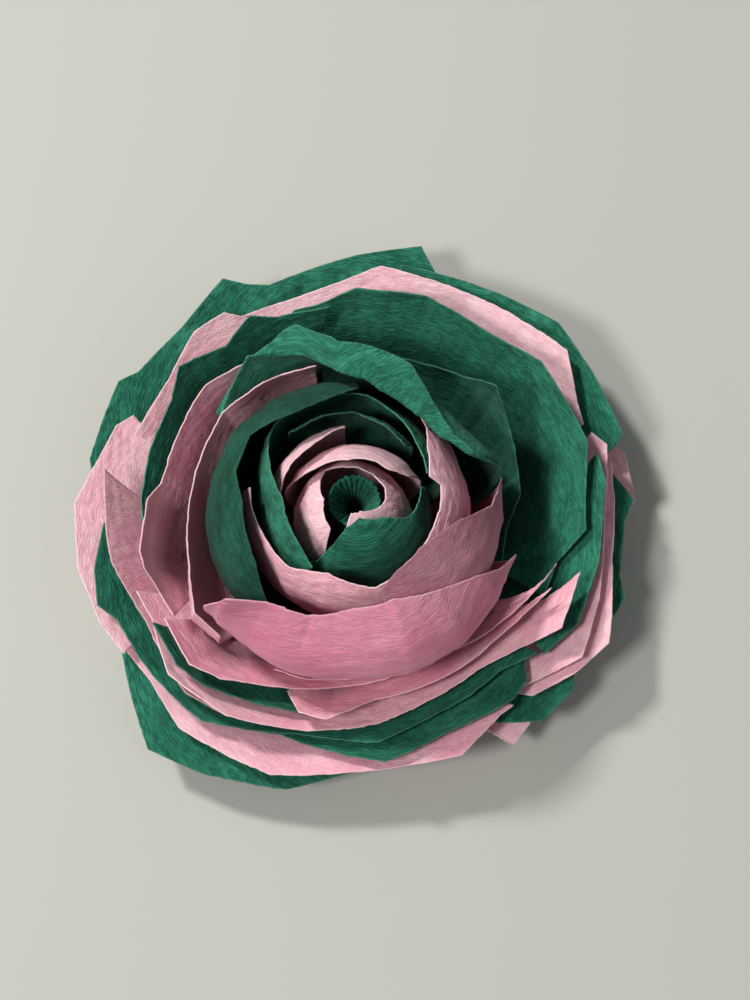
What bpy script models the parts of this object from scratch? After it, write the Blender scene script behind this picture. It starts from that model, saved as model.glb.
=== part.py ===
"""Crepe paper rose: separate petals wrapped in layers round a rolled core and bound at the foot.

Every petal rides one of a family of nested cups, numbered by layer from the core outwards.
A petal is a wrap, which says which layer it rides at each bearing, and a cut, which says how
long its paper is there. Bearings are in degrees, counter-clockwise from +X seen from above.
"""
import math

import bmesh
import bpy

MM = 0.001
PAPER = 0.25 * MM
LAYER_GAP = 0.35 * MM
CLEARANCE = 0.3 * MM

CORE_RADIUS = 2.6 * MM
CORE_HEIGHT = 29.0 * MM
CORE_MOUTH_RADIUS = 3.2 * MM
CORE_HOLE_RADIUS = 1.5 * MM
CORE_HOLE_DEPTH = 14.0 * MM
CORE_FLUTES = 9
CORE_FLUTE_DEPTH = 0.3 * MM
CORE_LEAN = (-0.2 * MM, 1.7 * MM)

# Height of the upright part of every sheet, which the tape binds.
NECK = 3.5 * MM
BINDING_THICKNESS = 0.4 * MM
BINDING_HEIGHT = NECK - CLEARANCE
# Radius of the outermost sheet's bend. All sheets bend outwards round one centre, so they stay evenly spaced.
OUTER_BEND = 1.7 * MM

# Tilt from upright, in degrees, at the end of the bend and one cup length further up the sheet,
# for the innermost layer, the last layer of the bud and the outermost layer.
LAST_BUD_LAYER = 6.1
SHOULDER_TILTS = (34.0, 66.0, 84.0)
BUD_TIP_TILTS = (-100.0, -42.0)
OPEN_TIP_TILTS = (-20.0, 86.0)
CUP_LENGTH = 32.0 * MM
CUP_POWER = 1.2
# Above 1 a bulging petal swells most in its upper half.
BULGE_POWER = 1.8
MARCH = 0.5 * MM

COLUMN_STEP = 10
NARROWEST_COLUMN = 4
BUD_CUP_ROWS = 3
OPEN_CUP_ROWS = 2
FIRST_OPEN_LAYER = 11.0
LIP_DROOP = 0.12

GREEN = "green_crepe"
PINK = "pink_crepe"
TAPE = "binding_tape"
COLOURS = {
    GREEN: (0.035, 0.210, 0.125, 1.0),
    PINK: (0.710, 0.340, 0.430, 1.0),
    TAPE: (0.060, 0.170, 0.090, 1.0),
}

# Name, paper, wrap as (bearing, layer), cut as (bearing, length above the binding in mm).
PETALS = (
    ("centre_wrap_pink", PINK, ((250, 0.2), (380, 0.3), (450, 0.5), (595, 0.65)),
     ((250, 32), (300, 32.5), (335, 31.5), (364, 29.5), (394, 28), (461, 28), (486, 25.5), (502, 27.5),
      (531, 30.5), (586, 30), (595, 26))),
    ("centre_band_pink", PINK, ((30, 1.55), (160, 1.55)),
     ((30, 28.5), (44, 32), (100, 33), (143, 30), (160, 25))),
    ("centre_collar_pink", PINK, ((95, 2.5), (160, 2.5), (172, 1.9), (190, 1.6)),
     ((97, 30), (129, 32.5), (149, 31.5), (164, 30), (176, 24.5), (190, 23.5))),
    ("centre_fold_green", GREEN, ((235, 1.6), (380, 1.6)),
     ((235, 31), (255, 35.5), (283, 37), (323, 35.5), (343, 31.5), (380, 27))),
    ("centre_back_green", GREEN, ((50, 2.5), (90, 3.43), (130, 3.43)),
     ((50, 31), (70, 32), (90, 31.5), (110, 32), (130, 31.5))),
    ("centre_ring_green", GREEN,
     ((20, 3.0), (50, 3.45), (90, 4.4), (130, 4.4), (160, 3.45), (180, 2.75), (238, 2.55)),
     ((20, 34.5), (60, 34), (84, 32.5), (136, 31.5), (165, 34.5), (219, 33.5), (238, 31.5))),
    ("bud_inner_pink", PINK, ((172, 4.05), (238, 3.55), (300, 3.7), (380, 4.0), (410, 4.4), (420, 4.62)),
     ((172, 33.5), (227, 34), (252, 36.5), (283, 35), (311, 36.5), (332, 37.5), (367, 38), (373, 40),
      (395, 39), (405, 37), (420, 34.5))),
    ("bud_inner_green", GREEN, ((88, 5.35), (130, 5.35), (160, 5.0), (180, 5.0), (232, 5.2)),
     ((88, 37), (105, 39.5), (126, 40.5), (148, 36.5), (167, 36.5), (183, 39), (215, 38.5), (232, 33))),
    ("bud_right_pink", PINK, ((285, 4.7), (320, 4.8), (345, 5.2), (360, 5.7), (372, 6.0)),
     ((285, 39.5), (297, 41.5), (318, 42.5), (332, 42.5), (345, 41), (357, 36.5), (372, 32.5))),
    ("bud_front_pink", PINK, ((212, 7.0), (228, 6.6), (245, 6.1), (270, 5.65), (320, 5.8), (345, 6.2)),
     ((216, 38), (221, 43), (232, 41.5), (251, 40), (289, 42.5), (309, 40.5), (328, 36.5), (336, 33),
      (345, 30.5))),
    ("bud_left_pink", PINK, ((105, 6.3), (170, 6.3), (195, 6.6), (212, 7.95), (235, 8.2)),
     ((105, 35), (119, 35), (127, 36.5), (142, 30.5), (162, 28.5), (195, 28.5), (205, 29.5),
      (219, 35.5), (226, 33))),
    ("bud_top_green", GREEN, ((14, 6.0), (35, 5.3), (60, 5.6), (88, 6.3), (105, 7.25), (145, 7.35)),
     ((14, 35.5), (18, 42.5), (61, 41.5), (84, 42), (98, 41.5), (109, 36.5), (116, 34.5), (125, 36.5),
      (132, 32.5), (142, 28))),
    ("bud_right_green", GREEN, ((302, 7.3), (345, 7.4), (368, 7.0), (435, 6.95)),
     ((306, 25.5), (347, 22.5), (359, 23), (369, 27.5), (389, 32), (400, 39), (407, 35), (413, 32.5),
      (435, 30))),
    ("front_petal_1", PINK, ((243, 7.1), (298, 7.1)),
     ((243, 29.5), (252, 28.5), (265, 24.5), (286, 24.5), (298, 26.5))),
    ("front_petal_2", PINK, ((208, 10.2), (225, 10.0), (240, 9.2), (255, 8.9), (300, 8.4), (344, 8.4)),
     ((208, 31.5), (223, 34), (231, 32), (241, 28.5), (265, 22.5), (299, 21), (322, 26), (335, 30),
      (344, 36.5))),
    ("front_petal_3", PINK, ((252, 9.9), (342, 9.4)),
     ((248, 24.5), (254, 29), (262, 29), (276, 24), (313, 25), (329, 27.5), (340, 31.5))),
    ("front_petal_4", GREEN, ((205, 11.2), (258, 10.9)),
     ((207, 31.5), (220, 33), (228, 32), (240, 28.5), (256, 26))),
    ("front_petal_5", PINK, ((195, 12.2), (348, 11.3)),
     ((197, 30.5), (205, 29.5), (220, 33), (237, 31.5), (252, 28), (293, 23.5), (311, 23.5),
      (323, 27), (332, 32.5), (347, 32.5))),
    ("front_petal_6", GREEN, ((248, 12.85), (325, 12.4)),
     ((243, 29), (255, 26.5), (276, 27), (291, 25), (315, 25), (325, 28.5))),
    ("front_petal_7", GREEN, ((175, 14.1), (195, 14.06), (246, 13.8), (322, 13.5)),
     ((178, 32), (189, 34), (197, 34.5), (201, 32), (232, 30.5), (250, 26), (261, 26.5), (277, 29),
      (292, 27), (313, 28))),
    ("left_petal_1", PINK, ((118, 8.4), (180, 8.9), (200, 9.1), (213, 9.15)),
     ((121, 32), (139, 34), (145, 33.5), (170, 31.5), (176, 34.5), (192, 37.5), (196, 37), (202, 33.5),
      (210, 32.5))),
    ("left_petal_2", GREEN, ((95, 9.8), (195, 10.3)),
     ((97, 35.5), (111, 35.5), (118, 38), (127, 35), (140, 38), (147, 34.5), (175, 32), (190, 31))),
    ("left_petal_3", PINK, ((168, 13.1), (195, 13.13), (246, 12.83)),
     ((167, 35), (188, 32.5), (204, 29), (225, 30.5), (236, 29), (241, 27))),
    ("back_petal_1", GREEN, ((335, 12.3), (350, 12.25), (380, 11.7), (470, 10.8)),
     ((340, 25), (351, 26), (359, 31), (366, 31.5), (379, 35.5), (401, 36.5), (418, 35), (433, 36.5),
      (450, 36.5), (460, 34), (465, 35))),
    ("back_petal_2", PINK, ((116, 13.3), (160, 13.3)),
     ((116, 32.5), (121, 35.5), (129, 35.5), (141, 32.5), (156, 32))),
    ("back_petal_3", PINK, ((25, 14.3), (128, 14.3)),
     ((26, 32.5), (31, 33.5), (41, 37.5), (65, 36), (85, 37), (94, 34), (105, 32.5), (120, 33))),
    ("right_petal_1", GREEN, ((326, 13.27), (335, 13.27), (350, 13.18), (372, 12.85)),
     ((326, 28), (336, 31), (352, 32), (361, 32.5), (370, 34.5), (377, 34.5))),
    ("right_petal_2", PINK, ((314, 14.2), (335, 14.2), (350, 14.15), (383, 13.8)),
     ((317, 27), (330, 32.5), (344, 31.5), (363, 31.5), (379, 35), (383, 33.5))),
    ("right_petal_3", PINK, ((317, 15.13), (335, 15.13), (350, 15.1), (376, 14.9)),
     ((317, 28), (327, 31.5), (336, 34), (354, 31.5), (376, 33.5))),
    ("outer_petal_1", PINK, ((152, 15.0), (175, 15.03), (213, 14.95)),
     ((151, 32), (155, 33.5), (163, 34), (174, 36), (188, 35), (200, 33.5), (208, 31.5))),
    ("outer_petal_2", GREEN, ((95, 15.3), (150, 15.95), (168, 16.0)),
     ((104, 34), (113, 36.5), (117, 39), (129, 35.5), (142, 35), (146, 36.5), (163, 34.5), (166, 33.5))),
    ("outer_petal_3", GREEN, ((19, 15.3), (82, 15.3)),
     ((19, 34), (21, 36.5), (35, 37.5), (47, 39), (60, 37.5), (81, 37))),
    ("outer_petal_4", GREEN, ((60, 16.25), (95, 16.3), (118, 16.5)),
     ((71, 34), (78, 40.5), (90, 38), (104, 35.5), (109, 35))),
    ("outer_petal_5", PINK, ((203, 15.9), (214, 15.88), (260, 15.0), (312, 14.6)),
     ((203, 30.5), (215, 29), (228, 31), (251, 30.5), (266, 28.5), (281, 28), (295, 29.5), (308, 27.5),
      (312, 27.5))),
    ("outer_petal_6", GREEN, ((200, 16.9), (216, 16.82), (278, 16.2)),
     ((206, 29.5), (226, 35), (237, 33), (255, 30), (267, 26.5), (272, 25))),
    ("outer_petal_7", GREEN, ((296, 16.06), (336, 16.06)),
     ((303, 24), (311, 28), (315, 30.5), (324, 31), (328, 29.5), (336, 31))),
    ("outer_petal_8", GREEN, ((338, 16.07), (357, 16.06), (375, 15.95)),
     ((340, 29), (343, 32), (347, 33), (352, 31.5), (364, 32.5), (368, 34.5), (375, 32))),
    ("outer_petal_9", PINK, ((297, 17.0), (318, 17.0)),
     ((303, 23), (307, 29), (313, 28), (317, 26))),
    ("outer_petal_10", PINK, ((357, 17.0), (382, 17.0)),
     ((362, 30), (369, 34), (379, 34.5), (381, 33))),
)

# How far some petals of the bud swell outwards of their cup, as (bearing, bulge in mm).
BULGES = {
    "bud_inner_green": ((88, 0), (120, 1), (150, 3.5), (170, 4), (200, 4), (232, 1.5)),
    "bud_right_pink": ((285, 3), (320, 3), (345, 1.5), (372, 0)),
    "bud_front_pink": ((216, 0), (240, 2.6), (270, 4.2), (300, 4.2), (328, 2.5), (345, 1)),
}

# How much further some petals tip inwards than their cup, as (bearing, degrees).
CLOSINGS = {
    "bud_inner_green": ((88, 12), (126, 8), (148, 0)),
    "bud_left_pink": ((105, 26), (127, 20), (142, 0)),
    "bud_top_green": ((14, 0), (61, 9), (79, 11), (81, 27), (98, 34), (105, 33), (111, 22), (116, 9), (122, 0)),
}
EVENLY_ZERO = ((0, 0),)

# Width in mm of the part folded outwards above the cut, as (bearing, width).
LIPS = {
    "bud_top_green": ((14, 0.5), (33, 2), (45, 3.5), (61, 6), (98, 6), (109, 6.5), (117, 4), (121, 1.5), (142, 0.5)),
}

OUTERMOST = max(layer for name, slot, wrap, cut in PETALS for bearing, layer in wrap)


def between(first, last, share):
    return first + (last - first) * share


def along(points, bearing):
    """Value at this bearing on a line through the points, level beyond its ends."""
    if bearing <= points[0][0]:
        return points[0][1]
    for (start, first), (end, last) in zip(points, points[1:]):
        if bearing <= end:
            return between(first, last, (bearing - start) / (end - start))
    return points[-1][1]


def foot_radius(layer):
    innermost = CORE_RADIUS + LAYER_GAP + PAPER / 2
    return innermost + layer * (PAPER + LAYER_GAP)


def tilts(layer):
    """Radians from upright at the end of the bend, and one cup length further up."""
    if layer <= LAST_BUD_LAYER:
        share = layer / LAST_BUD_LAYER
        shoulder = between(SHOULDER_TILTS[0], SHOULDER_TILTS[1], share)
        tip = between(*BUD_TIP_TILTS, share)
    else:
        share = (layer - LAST_BUD_LAYER) / (OUTERMOST - LAST_BUD_LAYER)
        shoulder = between(SHOULDER_TILTS[1], SHOULDER_TILTS[2], share ** 0.8)
        tip = between(*OPEN_TIP_TILTS, share)
    return math.radians(shoulder), math.radians(tip)


def bend_radius(layer):
    return foot_radius(OUTERMOST) + OUTER_BEND - foot_radius(layer)


def bend_length(layer):
    return bend_radius(layer) * tilts(layer)[0]


def tilt(layer, length, closing):
    """Radians from upright at this length of paper above the binding."""
    if length <= 0:
        return 0.0
    shoulder, tip = tilts(layer)
    tip -= math.radians(closing)
    past = length - bend_length(layer)
    if past <= 0:
        return length / bend_radius(layer)
    return shoulder + (tip - shoulder) * (past / CUP_LENGTH) ** CUP_POWER


def cup_point(layer, length, closing):
    """Radius and height on the cup at this length of paper above the binding."""
    radius = foot_radius(layer)
    height = NECK
    steps = max(1, round(length / MARCH))
    step = length / steps
    for number in range(steps):
        angle = tilt(layer, (number + 0.5) * step, closing)
        radius += step * math.sin(angle)
        height += step * math.cos(angle)
    return radius, height


def swell(share):
    """Share of a petal's bulge at this share of the way from its bend to its rim."""
    return math.sin(math.pi * share ** BULGE_POWER)


def at_bearing(radius, bearing, height):
    angle = math.radians(bearing)
    return radius * math.cos(angle), radius * math.sin(angle), height


def columns(cut):
    """The cut's corners, with evenly spaced bearings in the wide stretches between them."""
    corners = [bearing for bearing, length in cut]
    first = math.ceil(corners[0] / COLUMN_STEP) * COLUMN_STEP
    evenly = range(first, corners[-1], COLUMN_STEP)
    free = [b for b in evenly if min(abs(b - corner) for corner in corners) >= NARROWEST_COLUMN]
    return sorted(corners + free)


def column_points(name, wrap, cut, rows, bearing):
    """Points from the foot to the rim at one bearing."""
    bulge = along(BULGES.get(name, EVENLY_ZERO), bearing) * MM
    closing = along(CLOSINGS.get(name, EVENLY_ZERO), bearing)
    layer = along(wrap, bearing)
    length = along(cut, bearing) * MM
    bend = bend_length(layer)
    points = [(foot_radius(layer), 0.0), (foot_radius(layer), NECK)]
    for row in range(rows + 1):
        radius, height = cup_point(layer, between(bend, length, row / rows), closing)
        points.append((radius + bulge * swell(row / rows), height))
    if name in LIPS:
        radius, height = points[-1]
        width = along(LIPS[name], bearing) * MM
        points.append((radius + width, height - LIP_DROOP * width))
    return [at_bearing(radius, bearing, height) for radius, height in points]


def mesh_object(name, slot, vertices, faces):
    mesh = bpy.data.meshes.new(name)
    mesh.from_pydata(vertices, [], faces)
    piece = bpy.data.objects.new(name, mesh)
    bpy.context.scene.collection.objects.link(piece)
    mesh.materials.append(bpy.data.materials[slot])
    return piece


def grid_faces(column_count, row_count):
    """Quads between neighbouring columns, with the column's points running fastest."""
    faces = []
    for column in range(column_count - 1):
        for row in range(row_count - 1):
            corner = column * row_count + row
            faces.append((corner, corner + row_count, corner + row_count + 1, corner + 1))
    return faces


def make_petal(name, slot, wrap, cut):
    rows = BUD_CUP_ROWS if wrap[0][1] < FIRST_OPEN_LAYER else OPEN_CUP_ROWS
    grid = [column_points(name, wrap, cut, rows, bearing) for bearing in columns(cut)]
    vertices = [point for column in grid for point in column]
    piece = mesh_object(name, slot, vertices, grid_faces(len(grid), len(grid[0])))
    paper = piece.modifiers.new("paper", "SOLIDIFY")
    paper.thickness = PAPER
    paper.offset = 0
    paper.use_even_offset = True
    return piece


def lathe(name, slot, rings, segments, flutes=0, flute_depth=0.0):
    """Closed body from rings of (radius, height, lean from 0 to 1); a ring of radius 0 is a single point."""
    solid = bmesh.new()
    rows = []
    for radius, height, lean in rings:
        row = []
        for number in range(segments if radius else 1):
            bearing = 360 * number / segments
            wave = math.cos(math.radians(flutes * bearing)) if flutes else 0.0
            x, y, z = at_bearing(radius + flute_depth * lean * wave if radius else 0.0, bearing, height)
            row.append(solid.verts.new((x + CORE_LEAN[0] * lean, y + CORE_LEAN[1] * lean, z)))
        rows.append(row)
    for lower, upper in zip(rows, rows[1:]):
        for number in range(segments):
            after = (number + 1) % segments
            if len(lower) == 1:
                corners = (lower[0], upper[after], upper[number])
            elif len(upper) == 1:
                corners = (lower[number], lower[after], upper[0])
            else:
                corners = (lower[number], lower[after], upper[after], upper[number])
            solid.faces.new(corners)
    if len(rows[0]) > 1:
        bottom, top = rows[0], rows[-1]
        for number in range(segments):
            after = (number + 1) % segments
            solid.faces.new((top[number], top[after], bottom[after], bottom[number]))
    bmesh.ops.recalc_face_normals(solid, faces=solid.faces)
    mesh = bpy.data.meshes.new(name)
    solid.to_mesh(mesh)
    solid.free()
    piece = bpy.data.objects.new(name, mesh)
    bpy.context.scene.collection.objects.link(piece)
    mesh.materials.append(bpy.data.materials[slot])
    return piece


def make_core():
    """Solid roll at the foot, opening into a fluted tube at the top."""
    floor = CORE_HEIGHT - CORE_HOLE_DEPTH
    rings = (
        (0, 0, 0),
        (CORE_RADIUS, 0, 0),
        (CORE_RADIUS, CORE_HEIGHT / 2, 0.3),
        (CORE_MOUTH_RADIUS, CORE_HEIGHT, 1),
        (CORE_MOUTH_RADIUS - CORE_HOLE_RADIUS / 2, CORE_HEIGHT, 1),
        (CORE_HOLE_RADIUS, floor, 0.4),
        (0, floor, 0.4),
    )
    return lathe("core_roll", GREEN, rings, 3 * CORE_FLUTES, CORE_FLUTES, CORE_FLUTE_DEPTH)


def make_binding():
    inner = foot_radius(OUTERMOST) + PAPER / 2 + CLEARANCE
    outer = inner + BINDING_THICKNESS
    rings = ((inner, 0, 0), (outer, 0, 0), (outer, BINDING_HEIGHT, 0), (inner, BINDING_HEIGHT, 0))
    return lathe("foot_binding", TAPE, rings, 40)


def make_materials():
    for slot, colour in COLOURS.items():
        material = bpy.data.materials.new(slot)
        material.use_nodes = True
        shader = material.node_tree.nodes["Principled BSDF"]
        shader.inputs["Base Color"].default_value = colour
        shader.inputs["Roughness"].default_value = 0.9


def main():
    for leftover in list(bpy.data.objects):
        bpy.data.objects.remove(leftover)
    make_materials()
    make_core()
    for name, slot, wrap, cut in PETALS:
        make_petal(name, slot, wrap, cut)
    make_binding()


main()
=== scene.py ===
"""The crepe paper rose dressed for rendering: every petal as a thin, crinkled sheet of crepe.

The petals ride the same nested cups as the solids. Bearings are in degrees, counter-clockwise
from +X seen from above. Lengths are in millimetres until a mesh is made.
"""

import math

import bpy
import numpy as np
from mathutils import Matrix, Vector


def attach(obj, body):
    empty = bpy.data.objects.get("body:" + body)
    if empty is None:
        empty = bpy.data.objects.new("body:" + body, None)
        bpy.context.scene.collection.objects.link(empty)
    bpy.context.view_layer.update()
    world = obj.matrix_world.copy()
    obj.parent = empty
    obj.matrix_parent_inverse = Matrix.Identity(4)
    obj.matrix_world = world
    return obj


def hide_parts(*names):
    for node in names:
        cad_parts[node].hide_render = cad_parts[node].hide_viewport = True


MM = 0.001
PAPER = 0.25
LAYER_GAP = 0.35
CORE_RADIUS = 2.6
OUTERMOST = 17.0
NECK = 3.5
OUTER_BEND = 1.7
LAST_BUD_LAYER = 6.1
SHOULDER_TILTS = (34.0, 66.0, 84.0)
BUD_TIP_TILTS = (-100.0, -42.0)
OPEN_TIP_TILTS = (-20.0, 86.0)
CUP_LENGTH = 32.0
CUP_POWER = 1.2
BULGE_POWER = 1.8
LIP_DROOP = 0.12

THICKNESS = 0.2
COLUMN_PITCH = 0.42
FEWEST_COLUMNS = 70
FINE_LENGTH = 15.0
FINE_ROWS = 36
DEEP_ROWS = 10

GREEN = "green_crepe"
PINK = "pink_crepe"

# Name, paper, wrap as (bearing, layer), cut as (bearing, length above the binding in mm).
PETALS = (
    ("centre_wrap_pink", PINK, ((250, 0.2), (380, 0.3), (450, 0.5), (595, 0.65)),
     ((250, 32), (300, 32.5), (335, 31.5), (364, 29.5), (394, 28), (461, 28), (486, 25.5), (502, 27.5),
      (531, 30.5), (586, 30), (595, 26))),
    ("centre_band_pink", PINK, ((30, 1.55), (160, 1.55)),
     ((30, 28.5), (44, 32), (100, 33), (143, 30), (160, 25))),
    ("centre_collar_pink", PINK, ((95, 2.5), (160, 2.5), (172, 1.9), (190, 1.6)),
     ((97, 30), (129, 32.5), (149, 31.5), (164, 30), (176, 24.5), (190, 23.5))),
    ("centre_fold_green", GREEN, ((235, 1.6), (380, 1.6)),
     ((224, 24), (236, 28), (246, 33), (255, 35.5), (283, 37), (323, 35.5), (343, 31.5), (380, 27))),
    ("centre_back_green", GREEN, ((50, 2.5), (90, 3.43), (130, 3.43)),
     ((50, 31), (70, 32), (90, 31.5), (110, 32), (130, 31.5))),
    ("centre_ring_green", GREEN,
     ((20, 3.0), (50, 3.45), (90, 4.4), (130, 4.4), (160, 3.45), (180, 2.75), (238, 2.55)),
     ((20, 34.5), (60, 34), (84, 32.5), (136, 31.5), (165, 34.5), (219, 33.5), (238, 31.5))),
    ("bud_inner_pink", PINK, ((172, 4.05), (238, 3.55), (300, 3.7), (380, 4.0), (410, 4.4), (420, 4.62)),
     ((172, 33.5), (227, 34), (252, 36.5), (283, 35), (311, 36.5), (332, 37.5), (367, 38), (373, 40),
      (395, 39), (405, 37), (420, 34.5))),
    ("bud_inner_green", GREEN, ((88, 5.35), (130, 5.35), (160, 5.0), (180, 5.0), (232, 5.2)),
     ((88, 37), (105, 39.5), (126, 40.5), (148, 36.5), (167, 36.5), (183, 39), (215, 38.5), (232, 33))),
    ("bud_right_pink", PINK, ((285, 4.7), (320, 4.8), (345, 5.2), (360, 5.7), (372, 6.0)),
     ((285, 39.5), (297, 41.5), (318, 42.5), (332, 42.5), (345, 41), (357, 36.5), (372, 32.5))),
    ("bud_front_pink", PINK, ((212, 7.0), (228, 6.6), (245, 6.1), (270, 5.65), (320, 5.8), (345, 6.2)),
     ((216, 38), (221, 43), (232, 41.5), (251, 40), (289, 42.5), (309, 40.5), (328, 36.5), (336, 33),
      (345, 30.5))),
    ("bud_left_pink", PINK, ((105, 6.3), (170, 6.3), (195, 6.6), (212, 7.95), (235, 8.2)),
     ((105, 35), (119, 35), (127, 36.5), (142, 32), (162, 30.5), (195, 30), (205, 30),
      (212, 31), (222, 28))),
    ("bud_top_green", GREEN, ((14, 6.0), (35, 5.3), (60, 5.6), (88, 6.3), (105, 7.25), (145, 7.35)),
     ((14, 35.5), (18, 42.5), (61, 41.5), (84, 42), (98, 41.5), (109, 36.5), (116, 34.5), (125, 36.5),
      (132, 32.5), (142, 28))),
    ("bud_right_green", GREEN, ((302, 7.3), (345, 7.4), (368, 7.0), (435, 6.95)),
     ((306, 25.5), (347, 22.5), (359, 23), (369, 27.5), (389, 32), (400, 39), (407, 35), (413, 32.5),
      (435, 30))),
    ("front_petal_1", PINK, ((243, 7.1), (298, 7.1)),
     ((243, 29.5), (252, 28.5), (265, 24.5), (286, 24.5), (298, 26.5))),
    ("front_petal_2", PINK, ((208, 10.2), (225, 10.0), (240, 9.2), (255, 8.9), (300, 8.4), (344, 8.4)),
     ((208, 31.5), (223, 34), (231, 32), (241, 28.5), (265, 22.5), (299, 21), (322, 26), (335, 30),
      (344, 36.5))),
    ("front_petal_3", PINK, ((252, 9.9), (342, 9.4)),
     ((248, 24.5), (254, 29), (262, 29), (276, 24), (313, 25), (329, 27.5), (340, 31.5))),
    ("front_petal_4", GREEN, ((205, 11.2), (258, 10.9)),
     ((207, 31.5), (220, 33), (228, 32), (240, 28.5), (256, 26))),
    ("front_petal_5", PINK, ((195, 12.2), (348, 11.3)),
     ((197, 30.5), (205, 29.5), (220, 33), (237, 31.5), (252, 28), (293, 23.5), (311, 23.5),
      (323, 27), (332, 32.5), (347, 32.5))),
    ("front_petal_6", GREEN, ((248, 12.85), (325, 12.4)),
     ((243, 29), (255, 26.5), (276, 27), (291, 25), (315, 25), (325, 28.5))),
    ("front_petal_7", GREEN, ((175, 14.1), (195, 14.06), (246, 13.8), (322, 13.5)),
     ((178, 32), (189, 34), (197, 34.5), (201, 32), (232, 30.5), (250, 26), (261, 26.5), (277, 29),
      (292, 27), (313, 28.5), (318, 28), (323, 25))),
    ("left_petal_1", PINK, ((118, 8.4), (180, 8.9), (200, 9.1), (213, 9.15)),
     ((121, 32), (139, 34), (145, 33.5), (170, 31.5), (176, 34.5), (192, 37.5), (196, 37), (202, 33.5),
      (210, 32.5))),
    ("left_petal_2", GREEN, ((95, 9.8), (195, 10.3)),
     ((97, 35.5), (111, 35.5), (118, 38), (127, 35), (140, 38), (147, 34.5), (175, 32), (190, 31))),
    ("left_petal_3", PINK, ((168, 13.1), (195, 13.13), (246, 12.83)),
     ((167, 35), (188, 32.5), (204, 29), (225, 30.5), (236, 29), (241, 27))),
    ("back_petal_1", GREEN, ((335, 12.3), (350, 12.25), (380, 11.7), (470, 10.8)),
     ((340, 25), (351, 26), (359, 31), (366, 31.5), (379, 35.5), (401, 36.5), (418, 35), (433, 36.5),
      (450, 36.5), (460, 34), (466, 34), (474, 30), (480, 22))),
    ("back_petal_2", PINK, ((116, 13.3), (160, 13.3)),
     ((116, 32.5), (121, 35.5), (129, 35.5), (141, 32.5), (156, 32))),
    ("back_petal_3", PINK, ((25, 14.3), (128, 14.3)),
     ((26, 32.5), (31, 33.5), (41, 37.5), (65, 36), (85, 37), (94, 34), (105, 32.5), (120, 33))),
    ("right_petal_1", GREEN, ((326, 13.27), (335, 13.27), (350, 13.18), (372, 12.85)),
     ((326, 28), (336, 31), (352, 32), (361, 32.5), (370, 34.5), (377, 34.5))),
    ("right_petal_2", PINK, ((314, 14.2), (335, 14.2), (350, 14.15), (383, 13.8)),
     ((317, 27), (330, 32.5), (344, 31.5), (363, 31.5), (379, 35), (383, 33.5))),
    ("right_petal_3", PINK, ((317, 15.13), (335, 15.13), (350, 15.1), (376, 14.9)),
     ((317, 28), (327, 31.5), (336, 34), (354, 31.5), (376, 33.5))),
    ("outer_petal_1", PINK, ((152, 15.0), (175, 15.03), (213, 14.95)),
     ((151, 32), (155, 33.5), (163, 34), (174, 36), (188, 35), (200, 33.5), (208, 31.5))),
    ("outer_petal_2", GREEN, ((95, 15.3), (150, 15.95), (168, 16.0)),
     ((104, 34), (113, 36.5), (117, 39), (129, 35.5), (142, 35), (146, 36.5), (163, 34.5), (166, 33.5))),
    ("outer_petal_3", GREEN, ((19, 15.3), (82, 15.3)),
     ((19, 34), (21, 36.5), (35, 37.5), (47, 39), (60, 37.5), (81, 37))),
    ("outer_petal_4", GREEN, ((60, 16.25), (95, 16.3), (118, 16.5)),
     ((71, 34), (78, 40.5), (90, 38), (104, 35.5), (109, 35))),
    ("outer_petal_5", PINK, ((203, 15.9), (214, 15.88), (260, 15.0), (312, 14.6)),
     ((203, 30.5), (215, 29), (228, 31), (251, 30.5), (266, 28.5), (281, 28), (295, 29.5), (308, 27.5),
      (312, 27.5))),
    ("outer_petal_6", GREEN, ((200, 16.9), (216, 16.82), (278, 16.2)),
     ((206, 29.5), (226, 35), (237, 33), (255, 30), (267, 26.5), (272, 25))),
    ("outer_petal_7", GREEN, ((296, 16.06), (336, 16.06)),
     ((303, 24), (311, 28), (315, 30.5), (324, 31), (328, 29.5), (336, 31))),
    ("outer_petal_8", GREEN, ((338, 16.07), (357, 16.06), (375, 15.95)),
     ((340, 29), (343, 32), (347, 33), (352, 31.5), (364, 32.5), (368, 34.5), (375, 32))),
    ("outer_petal_9", PINK, ((297, 17.0), (318, 17.0)),
     ((303, 23), (307, 29), (313, 28), (317, 26))),
    ("outer_petal_10", PINK, ((357, 17.0), (382, 17.0)),
     ((362, 30), (369, 34), (379, 34.5), (381, 33))),
)

# How far some petals of the bud swell outwards of their cup, as (bearing, bulge in mm).
BULGES = {
    "bud_left_pink": ((165, 0), (195, 2), (212, 3.2), (235, 3)),
    "bud_inner_green": ((88, 0), (120, 1), (150, 2), (170, 2.2), (200, 2.4), (232, 1)),
    "bud_right_pink": ((285, 3), (320, 3), (345, 1.5), (372, 0)),
    "bud_front_pink": ((216, 0), (240, 3.4), (270, 4.2), (300, 4.2), (328, 2.5), (345, 1)),
}

# How much further some petals tip inwards than their cup, as (bearing, degrees).
CLOSINGS = {
    "bud_front_pink": ((216, 0), (221, 6), (230, 22), (244.5, 26), (245, 5), (262, 3), (280, 0)),
    "bud_inner_green": ((88, 12), (126, 8), (148, 0)),
    "bud_left_pink": ((105, 26), (127, 20), (142, 0)),
    "bud_top_green": ((14, 0), (61, 9), (79, 11), (81, 27), (98, 34), (105, 33), (111, 22), (116, 9), (122, 0)),
}
EVENLY_ZERO = ((0, 0),)

# Width in mm of the part folded outwards above the cut, as (bearing, width).
LIPS = {
    "bud_top_green": ((14, 0.5), (33, 2), (45, 3.5), (61, 6), (98, 6), (109, 6.5), (117, 4), (121, 1.5), (142, 0.5)),
}

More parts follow.
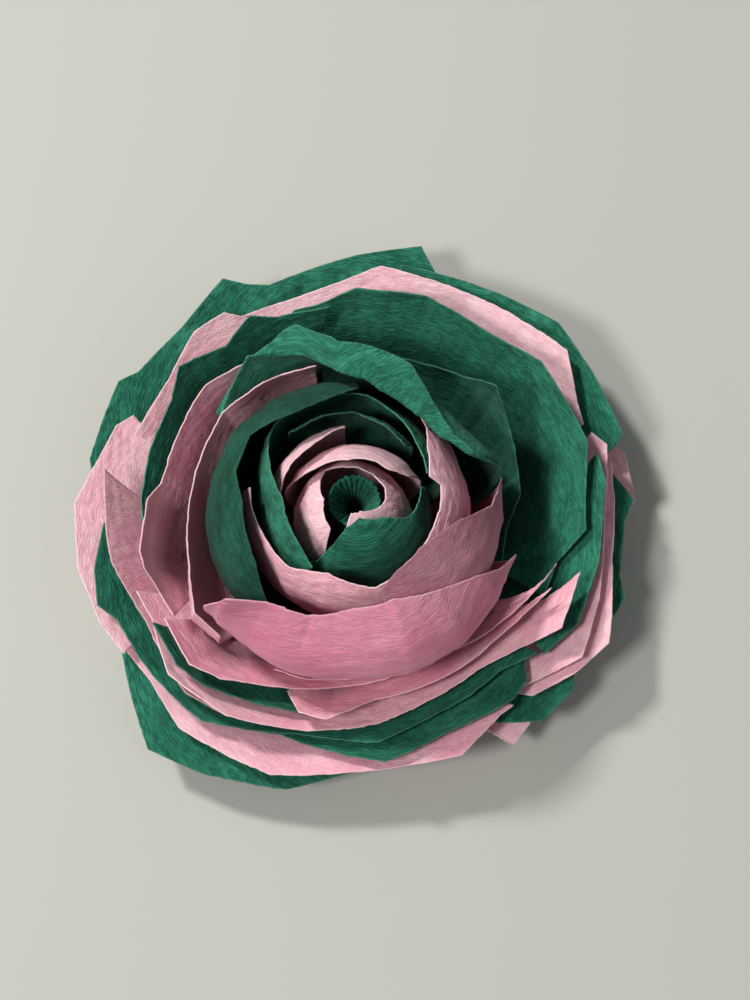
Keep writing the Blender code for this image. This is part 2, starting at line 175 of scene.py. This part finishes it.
# How far from the middle the edge of the folded lip lies, as (bearing, reach).
LIP_REACH = ((14, 19.1), (30, 17.1), (40, 17.3), (51, 18.3), (61, 20.2), (67, 21.8), (72, 22.2), (81, 22.8),
             (96, 24.1), (103, 27.2), (108, 30), (112, 30.1), (121, 29), (128, 28.5), (142, 28.0))

# Direction of the crepe's ribs, in degrees from the rim's direction, where they don't follow the rim.
GRAIN = {
    "centre_wrap_pink": 80,
    "centre_back_green": 84,
    "bud_top_green": -50,
    "left_petal_1": 12,
    "left_petal_3": 75,
    "outer_petal_5": 6,
    "outer_petal_2": -24,
    "outer_petal_6": 14,
    "back_petal_1": 5,
}

# How far the paper's two ends slant, in degrees of bearing a millimetre below the rim.
SLANTS = {
    "front_petal_2": (0.4, 1.3),
    "front_petal_3": (0.5, 1.3),
    "front_petal_4": (0.9, 0.3),
    "front_petal_5": (0.3, 1.5),
    "front_petal_7": (0.2, 0.6),
    "left_petal_1": (0.2, 0.8),
    "left_petal_2": (0.6, 0.4),
    "left_petal_3": (0.5, 0.0),
    "right_petal_1": (0.7, 0.6),
    "right_petal_2": (-0.9, 0.4),
    "right_petal_3": (-0.9, 0.4),
    "back_petal_1": (0.7, 0.6),
    "outer_petal_1": (0.4, 0.6),
    "outer_petal_5": (0.5, 0.6),
    "outer_petal_7": (0.3, 0.5),
    "outer_petal_9": (-0.3, 0.6),
}

# Painted shade for the shadow down between the petals: how deep below the rim the paper's inner side starts and ends
# to darken, where it isn't as on most petals.
PAINTED_SHADE_DEPTH = (4, 17)
PAINTED_SHADE_DEPTHS = {
    "left_petal_1": (3, 8),
    "left_petal_2": (3, 10),
    "back_petal_1": (5, 14),
    "bud_inner_pink": (3, 14),
    "front_petal_1": (2, 8),
    "front_petal_2": (3, 9),
    "front_petal_3": (3, 9),
}

# Share of darkening along the rim of the petals whose outer side leans out of the light.
RIM_SHADES = {
    "bud_front_pink": 0.38,
    "bud_right_pink": 0.45,
}

# Share of darkening that covers a whole petal which lies in the shade of its neighbours.
SHADES = {
    "left_petal_3": 0.35,
    "left_petal_1": 0.12,
    "bud_inner_green": 0.65,
    "bud_right_pink": 0.4,
    "bud_left_pink": 0.12,
    "bud_right_green": 0.3,
    "centre_back_green": 0.3,
    "front_petal_4": 0.2,
}

# Paleness of the pink sheets and brightness of the green ones, from 0 to 1, mostly painted light: sheets in the light
# paler, those in shade darker, and the hot pink of the front of the bud a painted reflection of the pink around it;
# partly the paper's own tone. The rest are at 0.5.
PAINTED_LIGHT_AND_TONES = {
    "centre_wrap_pink": 0.9,
    "centre_band_pink": 0.9,
    "centre_collar_pink": 0.9,
    "bud_inner_pink": 0.55,
    "bud_front_pink": 0.1,
    "bud_right_pink": 0.35,
    "bud_left_pink": 0.75,
    "front_petal_1": 0.2,
    "front_petal_2": 0.35,
    "front_petal_3": 0.45,
    "front_petal_5": 0.6,
    "left_petal_3": 0.6,
    "left_petal_1": 0.5,
    "back_petal_2": 0.75,
    "back_petal_3": 0.85,
    "right_petal_2": 0.75,
    "right_petal_3": 0.85,
    "outer_petal_1": 0.8,
    "outer_petal_5": 0.65,
    "outer_petal_9": 0.9,
    "outer_petal_10": 0.9,
    "bud_top_green": 0.75,
    "bud_inner_green": 0.3,
    "centre_fold_green": 0.5,
    "centre_ring_green": 0.6,
    "front_petal_4": 0.2,
    "front_petal_6": 0.2,
    "front_petal_7": 0.35,
    "back_petal_1": 0.45,
    "outer_petal_6": 0.6,
    "outer_petal_3": 0.6,
    "outer_petal_4": 0.6,
    "outer_petal_2": 0.5,
}


def table(points, bearings):
    """Value of a (bearing, value) table at each bearing."""
    return np.interp(bearings, *np.array(points, float).T)


def smooth(values, width):
    """Moving average that keeps the ends."""
    padded = np.pad(values, width, mode="edge")
    kernel = np.ones(2 * width + 1) / (2 * width + 1)
    return np.convolve(padded, kernel, mode="valid")


def foot_radius(layer):
    return CORE_RADIUS + LAYER_GAP + PAPER / 2 + layer * (PAPER + LAYER_GAP)


def tilts(layer):
    """Radians from upright at the end of the bend, and one cup length further up."""
    bud = np.clip(layer / LAST_BUD_LAYER, 0, 1)
    opened = np.clip((layer - LAST_BUD_LAYER) / (OUTERMOST - LAST_BUD_LAYER), 0, 1)
    closed = layer <= LAST_BUD_LAYER
    low, middle, high = SHOULDER_TILTS
    shoulder = np.where(closed, low + (middle - low) * bud, middle + (high - middle) * opened ** 0.8)
    bud_tip = BUD_TIP_TILTS[0] + (BUD_TIP_TILTS[1] - BUD_TIP_TILTS[0]) * bud
    open_tip = OPEN_TIP_TILTS[0] + (OPEN_TIP_TILTS[1] - OPEN_TIP_TILTS[0]) * opened
    return np.radians(shoulder), np.radians(np.where(closed, bud_tip, open_tip))


def cup_points(layers, closings, lengths):
    """Radius and height at each length of paper above the binding, one column per layer."""
    step = 0.25
    longest = 50
    middles = (np.arange(round(longest / step)) + 0.5) * step
    shoulder, tip = tilts(layers)
    tip = smooth(tip - np.radians(closings), 3)[:, None]
    shoulder = shoulder[:, None]
    foot = foot_radius(layers)[:, None]
    bend = foot_radius(OUTERMOST) + OUTER_BEND - foot
    past = np.maximum(middles - bend * shoulder, 0)
    tilt = np.where(past > 0, shoulder + (tip - shoulder) * (past / CUP_LENGTH) ** CUP_POWER, middles / bend)
    start = np.zeros((len(layers), 1))
    out = np.hstack((start, np.cumsum(np.sin(tilt), axis=1))) * step
    up = np.hstack((start, np.cumsum(np.cos(tilt), axis=1))) * step
    place = np.clip(lengths / step, 0, len(middles) - 0.001)
    index = place.astype(int)
    share = place - index
    rows = np.arange(len(layers))[:, None]
    radius = foot + out[rows, index] * (1 - share) + out[rows, index + 1] * share
    height = NECK + up[rows, index] * (1 - share) + up[rows, index + 1] * share + np.minimum(lengths, 0)
    return radius, height


LATTICE = np.random.default_rng(11).uniform(-1, 1, (256, 256))


def noise(x, y, seed=0):
    """Smooth noise from -1 to 1 with features one unit apart."""
    x = x + seed * 17.31
    y = y + seed * 7.77
    i, j = np.floor(x).astype(int), np.floor(y).astype(int)
    p, q = x - i, y - j
    p = p * p * (3 - 2 * p)
    q = q * q * (3 - 2 * q)
    i, j, k, l = i % 256, j % 256, (i + 1) % 256, (j + 1) % 256
    low = LATTICE[i, j] * (1 - q) + LATTICE[i, l] * q
    high = LATTICE[k, j] * (1 - q) + LATTICE[k, l] * q
    return low * (1 - p) + high * p


def crinkle(run, over, seed):
    """Height from -1 to 1 of crepe: soft puffs between sharp creases that follow the run."""
    over = over + 0.45 * noise(run / 5, over / 4, seed) + 0.18 * noise(run / 1.6, over / 1.4, seed + 3)
    puffs = abs(noise(run / 2.6, over / 0.75, seed)) * 2 - 0.7
    fine = abs(noise(run / 1.5, over / 0.4, seed + 1)) * 2 - 0.7
    return 0.65 * puffs + 0.35 * fine


def piece_from(name, vertices, quads, attributes, material):
    mesh = bpy.data.meshes.new(name)
    mesh.vertices.add(len(vertices))
    mesh.vertices.foreach_set("co", (vertices * MM).astype(np.float32).ravel())
    quads = np.asarray(quads, dtype=np.int32)
    mesh.loops.add(quads.size)
    mesh.loops.foreach_set("vertex_index", quads.ravel())
    mesh.polygons.add(len(quads))
    mesh.polygons.foreach_set("loop_start", np.arange(0, quads.size, 4, dtype=np.int32))
    for key, values in attributes.items():
        kind = "FLOAT_VECTOR" if values.ndim == 2 else "FLOAT"
        layer = mesh.attributes.new(key, kind, "POINT")
        layer.data.foreach_set("vector" if values.ndim == 2 else "value", values.astype(np.float32).ravel())
    mesh.update(calc_edges=True)
    mesh.validate()
    mesh.shade_smooth()
    piece = bpy.data.objects.new(name, mesh)
    bpy.context.scene.collection.objects.link(piece)
    mesh.materials.append(material)
    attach(piece, "root")
    return piece


def normals_of(grid):
    """Unit normals of a grid of points, columns first."""
    across = np.gradient(grid, axis=0)
    along = np.gradient(grid, axis=1)
    normal = np.cross(across, along)
    return normal / np.maximum(np.linalg.norm(normal, axis=2, keepdims=True), 1e-9)


def sheet_faces(columns, rows):
    """Quads of a closed sheet: one side, the other side turned round, and the four edges."""
    index = np.arange(columns * rows).reshape(columns, rows)
    a, b, c, d = index[:-1, :-1], index[1:, :-1], index[1:, 1:], index[:-1, 1:]
    front = np.stack((a, b, c, d), axis=2).reshape(-1, 4)
    back = front[:, ::-1] + columns * rows
    border = np.concatenate((index[:, 0], index[-1, 1:], index[-2::-1, -1], index[0, -2:0:-1]))
    after = np.roll(border, -1)
    edge = np.stack((after, border, border + columns * rows, after + columns * rows), axis=1)
    return np.concatenate((front, back, edge))


def facet(grid, bearings, corners, length):
    """Pull the paper between two corners of its cut towards a flat facet, most of all near the rim."""
    free = np.clip((length - 9) / 14, 0, 1)[:, :, None]
    flat = grid.copy()
    for first, last in zip(corners, corners[1:]):
        i, j = np.argmin(abs(bearings - first)), np.argmin(abs(bearings - last))
        share = ((bearings[i:j + 1] - first) / (last - first))[:, None, None]
        straight = grid[i] * (1 - share) + grid[j] * share
        strength = np.clip(1.15 - (last - first) / 32, 0.12, 0.8)
        flat[i:j + 1] = grid[i:j + 1] + (straight - grid[i:j + 1]) * strength
    return grid + (flat - grid) * free


def folded_lip(grid, angle, lip):
    """The rows past the crest of a petal that is folded outwards."""
    share = np.linspace(0, 1, 27)[1:]
    out = share[None, :] * lip[:, None]
    outward = np.stack((np.cos(angle), np.sin(angle), angle * 0), axis=2)
    rise = 0.5 * np.sin(np.minimum(share, 0.25) * 2 * math.pi)[None, :] * np.minimum(lip[:, None], 1)
    fold = grid[:, -1:, :] + outward * out[:, :, None]
    fold[:, :, 2] += rise - LIP_DROOP * out
    return fold, out


def petal(name, slot, wrap, cut, material, seed):
    """One sheet of crepe on its cups, with ribs, waves and a cut rim."""
    corners = np.array([bearing for bearing, length in cut], float)
    first, last = corners[0], corners[-1]
    reach, top = cup_points(np.array([table(wrap, (first + last) / 2)]), np.zeros(1), np.array([[table(cut, (first + last) / 2)]]))
    reach = max(reach[0, 0], 3.0)
    count = max(FEWEST_COLUMNS, round(math.radians(last - first) * reach / COLUMN_PITCH))
    bearings = np.linspace(first, last, count)
    for corner in corners[1:-1]:
        bearings[1 + np.argmin(abs(bearings[1:-1] - corner))] = corner
    across = np.radians(bearings) * reach
    layers = smooth(table(wrap, bearings), 2)
    closings = table(CLOSINGS.get(name, EVENLY_ZERO), bearings)
    bulge = table(BULGES.get(name, EVENLY_ZERO), bearings)[:, None]
    rim = table(cut, bearings)
    rim = rim + 0.12 * noise(across / 1.4, across * 0, seed) + 0.12 * noise(across / 0.55, across * 0 + 5, seed)

    fine = FINE_LENGTH * np.linspace(1, 0, FINE_ROWS, endpoint=True) ** 1.25
    share = np.linspace(0, 1, DEEP_ROWS, endpoint=False)
    deep = -NECK + (rim[:, None] - FINE_LENGTH + NECK) * share[None, :]
    length = np.concatenate((deep, rim[:, None] - fine[None, :]), axis=1)
    distance = rim[:, None] - length
    radius, height = cup_points(layers, closings, length)
    shoulder = tilts(layers)[0]
    bend = ((foot_radius(OUTERMOST) + OUTER_BEND - foot_radius(layers)) * shoulder)[:, None]
    share = np.clip((length - bend) / (rim[:, None] - bend), 0, 1)
    radius = radius + bulge * np.sin(math.pi * share ** BULGE_POWER)
    below = np.clip(distance, 0, 12)
    starting, ending = SLANTS.get(name, (0, 0))
    toward_start = np.clip(1 - (bearings - first) / 14, 0, 1)[:, None]
    toward_end = np.clip(1 - (last - bearings) / 14, 0, 1)[:, None]
    angle = np.radians(bearings[:, None] + below * (starting * toward_start - ending * toward_end))
    grid = np.stack((radius * np.cos(angle), radius * np.sin(angle), height), axis=2)
    grid = facet(grid, bearings, corners, length)
    lip = np.zeros(count)
    if name in LIPS:
        crest = np.hypot(grid[:, -1, 0], grid[:, -1, 1])
        lip = np.maximum(table(LIP_REACH, bearings) - crest, 0.3)
        fold, out = folded_lip(grid, angle[:, -1:], lip)
        grid = np.concatenate((grid, fold), axis=1)
        length = np.concatenate((length, rim[:, None] + out), axis=1)
        distance = (rim + lip)[:, None] - length
    across = np.repeat(across[:, None], length.shape[1], axis=1)

    turn = math.radians(GRAIN.get(name, 0))
    run = across * math.cos(turn) + length * math.sin(turn)
    over = length * math.cos(turn) - across * math.sin(turn)
    relief = crinkle(run, over, seed)
    free = np.clip((length - 6) / 14, 0, 1)
    wave = 0.30 * noise(across / 8, length / 16, seed + 5) * free
    ruffle = 0.14 * noise(across / 3.2, length / 30, seed + 6) * np.exp(-np.maximum(distance, 0) / 2.5)
    grid = grid + normals_of(grid) * (0.13 * relief * np.clip(free * 2, 0, 1) + wave + ruffle)[:, :, None]

    side = normals_of(grid) * THICKNESS / 2
    vertices = np.concatenate(((grid + side).reshape(-1, 3), (grid - side).reshape(-1, 3)))
    columns, rows = grid.shape[:2]
    edge = np.minimum(np.maximum(distance, 0), np.minimum(abs(across - across[:1]), abs(across - across[-1:])))
    # Painted highlight: the tint pales the paper within a few millimetres of its cut edges, where the lips catch the
    # light; the noise is the paper's own uneven tone.
    tint = PAINTED_LIGHT_AND_TONES.get(name, 0.5) + 0.18 * noise(across / 7, length / 9, seed + 8) + 0.15 * np.exp(-edge / 2.5)
    # Painted shade: the inner side darkens with depth below the rim, where the real paper lies in shadow; the outer
    # side of green sheets a little too, some petals all over, and some along the rim.
    start, end = PAINTED_SHADE_DEPTHS.get(name, PAINTED_SHADE_DEPTH)
    shade = SHADES.get(name, 0)
    depth = np.clip((distance - start) / (end - start), 0, 1)
    inside = shade + (1 - shade) * depth
    outside = shade + (0.6 * depth if slot == GREEN else 0 * depth)
    outside = outside + RIM_SHADES.get(name, 0) * np.clip(1 - distance / 14, 0, 1)
    attributes = {
        "sheet": np.tile(np.stack((run, over, across * 0 + seed), axis=2).reshape(-1, 3), (2, 1)),
        "relief": np.tile(relief.ravel(), 2),
        "edge": np.tile(edge.ravel(), 2),
        "tint": np.tile(tint.ravel(), 2),
        "depth": np.concatenate((outside.ravel(), inside.ravel())),
    }
    piece = piece_from(name + "_sheet", vertices, sheet_faces(columns, rows), attributes, material)
    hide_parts(name)
    return piece


def turned(profile, flutes=0, depth=0.0, lean=(0.0, 0.0), count=120, ridge=0.0):
    """Grid of a turned body from (radius, height, lean share) rings, one column per angle."""
    profile = np.array(profile, float)
    steps = np.maximum(2, (np.linalg.norm(np.diff(profile[:, :2], axis=0), axis=1) / 0.5).astype(int))
    rings = [profile[:1]]
    for start, end, step in zip(profile, profile[1:], steps):
        share = np.linspace(0, 1, step + 1)[1:, None]
        rings.append(start + (end - start) * share)
    rings = np.concatenate(rings)[None]
    angle = np.linspace(0, 2 * math.pi, count, endpoint=False)[:, None]
    radius = rings[:, :, 0] * np.ones((count, 1))
    wave = np.cos(flutes * angle) * depth * rings[:, :, 2] + noise(angle * 8, rings[:, :, 1] / 0.5 + radius, 4) * ridge
    radius = radius + wave * (radius > 0.2)
    x = radius * np.cos(angle) + lean[0] * rings[:, :, 2]
    y = radius * np.sin(angle) + lean[1] * rings[:, :, 2]
    z = np.repeat(rings[:, :, 1], count, axis=0)
    return np.stack((x, y, z), axis=2)


def close_round(grid, joined):
    """Vertices and quads of a grid that closes round; joined closes its last row to its first too."""
    columns, rows = grid.shape[:2]
    index = np.arange(columns * rows).reshape(columns, rows)
    after = np.roll(index, -1, axis=0)
    quads = np.stack((index[:, :-1], after[:, :-1], after[:, 1:], index[:, 1:]), axis=2).reshape(-1, 4)
    if joined:
        ring = np.stack((index[:, -1], after[:, -1], after[:, 0], index[:, 0]), axis=1)
        quads = np.concatenate((quads, ring))
    return grid.reshape(-1, 3), quads


class Wiring:
    """Short ways of adding nodes to one material."""

    def __init__(self, material):
        self.tree = material.node_tree

    def put(self, kind, inputs=(), **settings):
        """A new node with its settings, and with each input set to a value or linked to a socket."""
        node = self.tree.nodes.new(kind)
        for key, value in settings.items():
            setattr(node, key, value)
        for key, value in dict(inputs).items():
            if isinstance(value, bpy.types.NodeSocket):
                self.tree.links.new(value, node.inputs[key])
            else:
                node.inputs[key].default_value = value
        return node

    def attribute(self, name, output="Fac"):
        return self.put("ShaderNodeAttribute", attribute_name=name).outputs[output]

    def math(self, operation, *values, clamp=False):
        node = self.put("ShaderNodeMath", dict(enumerate(values)), operation=operation, use_clamp=clamp)
        return node.outputs["Value"]

    def ramp(self, value, low, high, new_low=0.0, new_high=1.0):
        inputs = {"Value": value, "From Min": low, "From Max": high, "To Min": new_low, "To Max": new_high}
        return self.put("ShaderNodeMapRange", inputs).outputs["Result"]

    def streaks(self, place, scale, detail=3.0, roughness=0.55):
        """Noise from 0 to 1 stretched along the sheet's ribs."""
        stretched = self.put("ShaderNodeMapping", {"Vector": place, "Scale": scale}).outputs["Vector"]
        inputs = {"Vector": stretched, "Scale": 1.0, "Detail": detail, "Roughness": roughness}
        return self.put("ShaderNodeTexNoise", inputs).outputs["Fac"]

    def blend(self, share, first, second):
        node = self.put("ShaderNodeMix", data_type="RGBA")
        for key, value in (("Factor", share), ("A", first), ("B", second)):
            if isinstance(value, bpy.types.NodeSocket):
                self.tree.links.new(value, node.inputs[key])
            else:
                node.inputs[key].default_value = (*value, 1) if key != "Factor" else value
        return node.outputs["Result"]


def crepe_material(name, shade_colour, full, pale, edge, glow, ribs, contrast):
    """Crepe with painted shade in the creases between its puffs, fine fibres, cloudy patches, a painted highlight
    paling the cut edge and painted shade deep below the rim.
    """
    material = bpy.data.materials.new(name)
    material.use_nodes = True
    wire = Wiring(material)
    place = wire.attribute("sheet", "Vector")
    relief = wire.attribute("relief")

    ribs = wire.streaks(place, ribs, 2.0)
    ridged = wire.math("ABSOLUTE", wire.math("SUBTRACT", ribs, 0.5))
    puff = wire.ramp(ridged, 0.0, 0.09)
    fibres = wire.streaks(place, (1.4, 5.0, 9.0), 4.0, 0.65)
    clouds = wire.streaks(place, (0.12, 0.16, 9.0), 3.0)

    height = wire.math("ADD", wire.math("MULTIPLY", puff, 0.6), wire.math("MULTIPLY", fibres, 0.5))
    # Painted shade and light: the paper is darker along the creases and paler on the crests of the crinkles, mixed
    # with the fibres' and patches' own tone.
    crest = wire.ramp(relief, -0.5, 0.5)
    crease_shade_and_grain = wire.math("ADD", wire.math("MULTIPLY", puff, 0.42), wire.math("MULTIPLY", crest, 0.38))
    crease_shade_and_grain = wire.math("ADD", crease_shade_and_grain, wire.math("MULTIPLY", fibres, 0.40))
    crease_shade_and_grain = wire.math("ADD", crease_shade_and_grain, wire.ramp(clouds, 0.3, 0.7, -0.22, 0.12), clamp=True)
    crease_shade_and_grain = wire.ramp(crease_shade_and_grain, 0.0, 1.0, 1.0 - contrast, 1.0)
    tint = wire.math("ADD", wire.attribute("tint"), wire.ramp(clouds, 0.35, 0.65, -0.12, 0.12), clamp=True)

    paper = wire.blend(tint, full, pale)
    paper = wire.blend(crease_shade_and_grain, shade_colour, paper)
    # Painted highlight: a pale line along the cut edge, where the rim catches the light.
    near = wire.ramp(wire.attribute("edge"), 0.0, 0.22, 0.25, 0.0)
    paper = wire.blend(near, paper, edge)
    # Painted shade: the paper goes near black deep below the rim, as far as the depth attribute says.
    deep = wire.blend(0.78, paper, (shade_colour[0] * 0.1, shade_colour[1] * 0.1, shade_colour[2] * 0.1))
    paper = wire.blend(wire.attribute("depth"), paper, deep)

    bump = wire.put("ShaderNodeBump", {"Strength": 0.9 * contrast, "Distance": 0.25 * MM, "Height": height})
    shader = material.node_tree.nodes["Principled BSDF"]
    wire.tree.links.new(paper, shader.inputs["Base Color"])
    wire.tree.links.new(bump.outputs["Normal"], shader.inputs["Normal"])
    shader.inputs["Roughness"].default_value = 0.85
    shader.inputs["Specular IOR Level"].default_value = 0.12
    shader.inputs["Sheen Weight"].default_value = 0.04
    shader.inputs["Subsurface Weight"].default_value = glow
    shader.inputs["Subsurface Radius"].default_value = (1.0, 0.45, 0.5)
    shader.inputs["Subsurface Scale"].default_value = 0.6 * MM
    return material


def plain_material(name, colour, roughness):
    material = bpy.data.materials.new(name)
    material.use_nodes = True
    shader = material.node_tree.nodes["Principled BSDF"]
    shader.inputs["Base Color"].default_value = (*colour, 1)
    shader.inputs["Roughness"].default_value = roughness
    return material


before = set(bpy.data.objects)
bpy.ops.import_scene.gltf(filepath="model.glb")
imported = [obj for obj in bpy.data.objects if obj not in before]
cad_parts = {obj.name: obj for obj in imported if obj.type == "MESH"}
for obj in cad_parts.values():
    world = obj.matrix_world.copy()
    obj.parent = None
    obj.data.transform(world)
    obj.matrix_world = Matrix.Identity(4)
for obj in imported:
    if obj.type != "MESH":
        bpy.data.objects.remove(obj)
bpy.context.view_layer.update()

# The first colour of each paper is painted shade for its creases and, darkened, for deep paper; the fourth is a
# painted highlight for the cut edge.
green = crepe_material("green crepe", (0.001, 0.030, 0.018), (0.009, 0.115, 0.070), (0.040, 0.260, 0.165),
                       (0.16, 0.42, 0.30), 0.08, (0.33, 1.9, 9.0), 0.85)
pink = crepe_material("pink crepe", (0.500, 0.160, 0.240), (0.830, 0.270, 0.400), (0.880, 0.570, 0.610),
                      (0.97, 0.80, 0.82), 0.3, (0.45, 1.9, 9.0), 0.45)
papers = {GREEN: green, PINK: pink}

for number, (name, slot, wrap, cut) in enumerate(PETALS):
    petal(name, slot, wrap, cut, papers[slot], number + 1)

core_profile = ((0, 0, 0), (2.6, 0, 0), (2.6, 15, 0.3), (4.0, 26.5, 1), (4.0, 27.2, 1), (3.7, 27.2, 1), (1.6, 22, 1.3),
                (1.2, 15.4, 1), (0, 15.4, 1))
grid = turned(core_profile, flutes=23, depth=0.12, lean=(-0.2, 1.7), ridge=0.16, count=230)
vertices, quads = close_round(grid, joined=False)
across = np.repeat(np.arange(230)[:, None] * 0.08, grid.shape[1], axis=1)
core = piece_from("core_sheet", vertices, quads, {
    "sheet": np.stack((grid[:, :, 2], across, grid[:, :, 0] * 0), axis=2).reshape(-1, 3),
    "relief": crinkle(grid[:, :, 2], across, 3).ravel(),
    "edge": np.full(grid.shape[0] * grid.shape[1], 5.0),
    "tint": np.full(grid.shape[0] * grid.shape[1], 0.5),
}, green)
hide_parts("core_roll")

tape = plain_material("tape", (0.05, 0.15, 0.08), 0.6)
grid = turned(((13.7, 0, 1), (14.1, 0, 1), (14.1, 3.2, 1), (13.7, 3.2, 1)), count=160, ridge=0.03)
vertices, quads = close_round(grid, joined=True)
binding = piece_from("binding_tape", vertices, quads, {}, tape)
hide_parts("foot_binding")

floor_mesh = bpy.data.meshes.new("floor")
floor_mesh.from_pydata([(-2, -2, 0), (2, -2, 0), (2, 2, 0), (-2, 2, 0)], [], [(0, 1, 2, 3)])
floor = bpy.data.objects.new("floor", floor_mesh)
bpy.context.scene.collection.objects.link(floor)
floor_mesh.materials.append(plain_material("floor", (0.45, 0.455, 0.415), 0.9))


def lamp(name, place, size, power, colour):
    light = bpy.data.lights.new(name, "AREA")
    light.size = size
    light.energy = power
    light.color = colour
    holder = bpy.data.objects.new(name, light)
    holder.location = place
    holder.rotation_euler = (Vector((0, 0, 0.01)) - holder.location).to_track_quat("-Z", "Y").to_euler()
    bpy.context.scene.collection.objects.link(holder)


lamp("key", (-0.44, 0.36, 0.72), 0.10, 6.2, (1.0, 0.98, 0.95))
lamp("second", (-0.42, -0.24, 0.76), 0.16, 4.4, (1.0, 0.98, 0.95))
lamp("fill", (0.5, -0.3, 0.7), 0.6, 0.5, (0.95, 0.98, 1.0))

world = bpy.data.worlds.new("room")
world.use_nodes = True
world.node_tree.nodes["Background"].inputs["Color"].default_value = (0.95, 0.98, 1.0, 1)
world.node_tree.nodes["Background"].inputs["Strength"].default_value = 0.22
bpy.context.scene.world = world

eye = bpy.data.cameras.new("camera")
eye.lens = 68.4
camera = bpy.data.objects.new("camera", eye)
camera.rotation_euler = (math.radians(16), 0, 0)
camera.location = (0.003, 0.0055 - 0.304 * math.cos(math.radians(74)), 0.014 + 0.304 * math.sin(math.radians(74)))
bpy.context.scene.collection.objects.link(camera)
bpy.context.scene.camera = camera
bpy.context.scene.view_settings.view_transform = "Standard"
